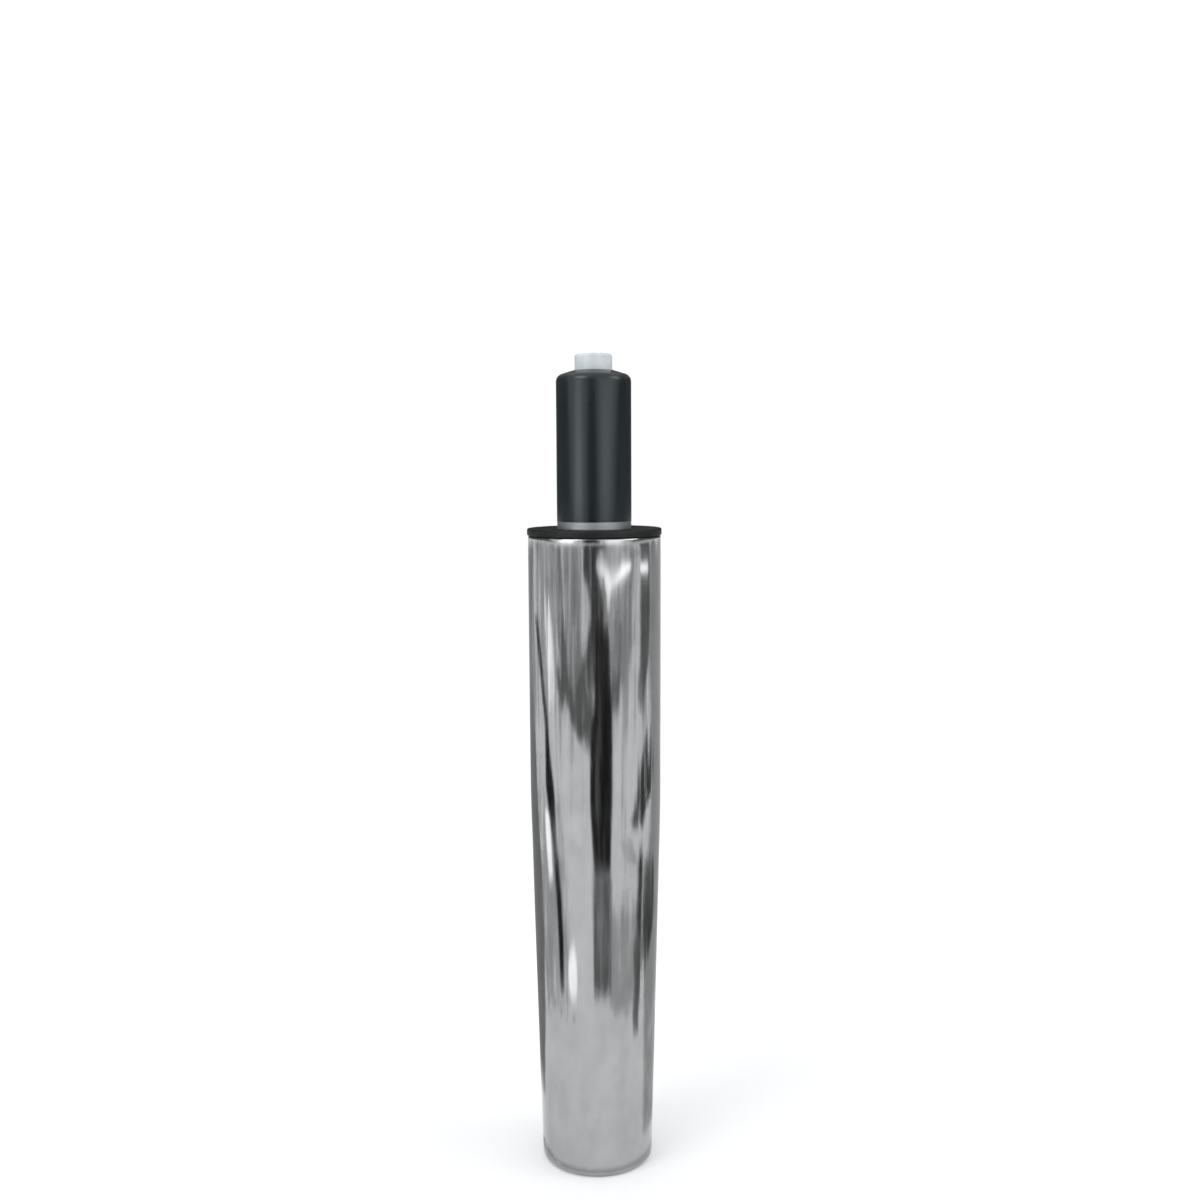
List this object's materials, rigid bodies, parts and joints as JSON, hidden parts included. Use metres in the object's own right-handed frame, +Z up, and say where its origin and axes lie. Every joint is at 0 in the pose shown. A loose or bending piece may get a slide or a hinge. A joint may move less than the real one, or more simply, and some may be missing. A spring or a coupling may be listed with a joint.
{
  "type": "gas lift cylinder",
  "caption": "Chair gas lift: chromed column with a self-holding cone, black gas spring spindle and push button valve, sliding and turning on a ball thrust bearing.",
  "frame": {"origin": "centre of the column's foot, on the surface that the column stands on", "axes": "+Z up the common axis of column, spindle and rod, from the column's foot to the push button"},
  "size_m": [0.0506, 0.0506, 0.3122],
  "materials": {
    "column_chrome": "bright chrome plate on drawn steel tube",
    "bush_plastic": "black moulded acetal",
    "plate_steel": "zinc plated pressed steel",
    "bearing_steel": "ground bearing steel",
    "cage_steel": "pressed brass coloured steel",
    "rod_steel": "ground and hard plated steel",
    "washer_steel": "zinc plated steel",
    "clip_steel": "blackened spring steel",
    "buffer_rubber": "black rubber",
    "seal_rubber": "black nitrile rubber",
    "spindle_black": "black satin paint on drawn steel tube, bare ground steel below the paint",
    "inner_tube_steel": "honed steel tube",
    "valve_aluminium": "turned aluminium",
    "piston_aluminium": "turned aluminium",
    "guide_plastic": "natural acetal",
    "sleeve_plastic": "natural nylon",
    "button_plastic": "off white moulded plastic"
  },
  "bodies": {
    "column": {"column_tube": "column_chrome", "guide_bush": "bush_plastic", "base_plate": "plate_steel", "bearing_lower_race": "bearing_steel"},
    "ball_cage": {"bearing_cage": "cage_steel", "bearing_balls": "bearing_steel"},
    "rod": {"piston_rod": "rod_steel", "piston": "piston_aluminium", "piston_seal": "seal_rubber", "piston_washer": "washer_steel", "stop_sleeve": "sleeve_plastic", "bearing_upper_race": "bearing_steel", "buffer_washer": "washer_steel", "rubber_buffer": "buffer_rubber", "retaining_washer": "washer_steel", "retaining_clip": "clip_steel"},
    "gas_cylinder": {"spindle_tube": "spindle_black", "inner_tube": "inner_tube_steel", "valve_body": "valve_aluminium", "valve_body_seals": "seal_rubber", "inner_tube_seal": "seal_rubber", "valve_pin_seal": "seal_rubber", "valve_cap": "guide_plastic", "rod_guide": "guide_plastic", "rod_seal": "seal_rubber", "seal_washer": "washer_steel"},
    "release_pin": {"push_button": "button_plastic", "valve_pin": "rod_steel", "valve_seat_seal": "seal_rubber"}
  },
  "joints": [
    {"name": "swivel", "type": "hinge", "parent": "column", "child": "rod", "pos_m": [0, 0, 0.0154], "axis": [0, 0, 1], "continuous": true},
    {"name": "ball_cage_turn", "type": "hinge", "parent": "column", "child": "ball_cage", "pos_m": [0, 0, 0.0143], "axis": [0, 0, 1], "continuous": true},
    {"name": "height", "type": "slide", "parent": "rod", "child": "gas_cylinder", "axis": [0, 0, 1], "range_m": [0, 0.12]},
    {"name": "release_press", "type": "slide", "parent": "gas_cylinder", "child": "release_pin", "axis": [0, 0, -1], "range_m": [0, 0.0035], "stiffness_N_per_m": 1500, "springref_m": -0.004}
  ],
  "couplings": [
    {"joint": "ball_cage_turn", "follows": "swivel", "ratio": 0.5}
  ]
}
